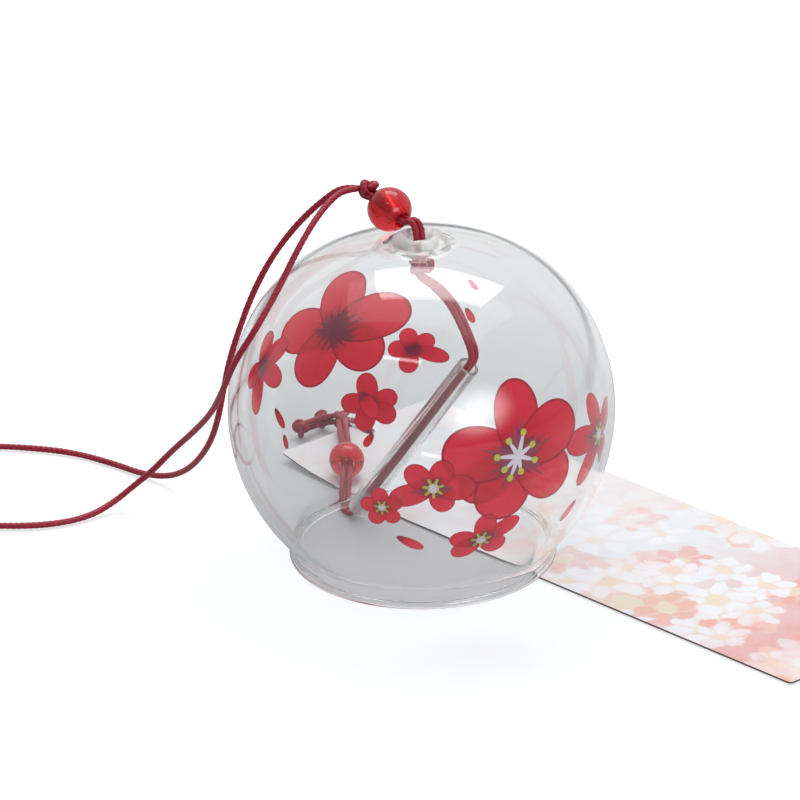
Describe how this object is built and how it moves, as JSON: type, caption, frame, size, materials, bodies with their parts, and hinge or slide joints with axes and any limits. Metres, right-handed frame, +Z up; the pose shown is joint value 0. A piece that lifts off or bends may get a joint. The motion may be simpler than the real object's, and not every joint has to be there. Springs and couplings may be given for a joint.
{
  "type": "wind bell",
  "caption": "Furin wind bell of clear glass with painted red plum blossoms, red cord, glass beads and a printed paper card, set down on a table.",
  "frame": {"origin": "the middle of the bell's place on the table, under the centre of its mouth", "axes": "+Z up from the table, +X to the right and +Y to the back as the picture shows it"},
  "size_m": [0.2238, 0.1445, 0.0799],
  "materials": {
    "clear_glass": "polished",
    "tube_glass": "polished",
    "red_bead": "polished",
    "red_cord": "satin",
    "printed_paper": "matte"
  },
  "bodies": {
    "bell": {"glass_bell": "clear_glass", "foot_cord": "red_cord"},
    "hanger": {"hanging_loop": "red_cord", "top_knot": "red_cord", "neck_cord": "red_cord", "stopper_knot": "red_cord"},
    "upper_bead": {"upper_bead": "red_bead"},
    "clapper": {"clapper_cord": "red_cord"},
    "clapper_tube": {"clapper_tube": "tube_glass"},
    "streamer": {"bead_cord": "red_cord", "tie_knot": "red_cord", "tail_cord": "red_cord", "tail_knot": "red_cord", "end_knot": "red_cord"},
    "lower_bead": {"lower_bead": "red_bead"},
    "card": {"paper_card": "printed_paper", "card_loop": "red_cord"}
  },
  "joints": [
    {"name": "hanger_turn", "type": "hinge", "parent": "bell", "child": "hanger", "pos_m": [-0.00085, -0.00233, 0.07085], "axis": [0, 0, 1], "range_deg": [-25, 25]},
    {"name": "upper_bead_spin", "type": "hinge", "parent": "hanger", "child": "upper_bead", "pos_m": [-0.00694, 0.00472, 0.07533], "axis": [-0.6078, 0.7243, 0.3256], "continuous": true},
    {"name": "clapper_swing", "type": "hinge", "parent": "bell", "child": "clapper", "pos_m": [-0.00078, -0.00216, 0.0657], "axis": [0.1938, -0.3043, 0.9327], "range_deg": [-80, 0]},
    {"name": "clapper_tube_spin", "type": "hinge", "parent": "clapper", "child": "clapper_tube", "pos_m": [-0.01396, 0.01853, 0.0023], "axis": [0.4662, -0.3651, 0.8058], "continuous": true},
    {"name": "streamer_turn", "type": "hinge", "parent": "bell", "child": "streamer", "pos_m": [-0.01628, 0.0216, 0.00073], "axis": [0, 0, 1], "range_deg": [-6, 6]},
    {"name": "lower_bead_spin", "type": "hinge", "parent": "streamer", "child": "lower_bead", "pos_m": [-0.01687, 0.03899, 0.00485], "axis": [-0.0349, 0.9994, 0], "continuous": true},
    {"name": "card_swing", "type": "hinge", "parent": "streamer", "child": "card", "pos_m": [-0.01856, 0.06662, 0.00339], "axis": [0.7254, 0.6884, 0], "range_deg": [0, 90]}
  ]
}
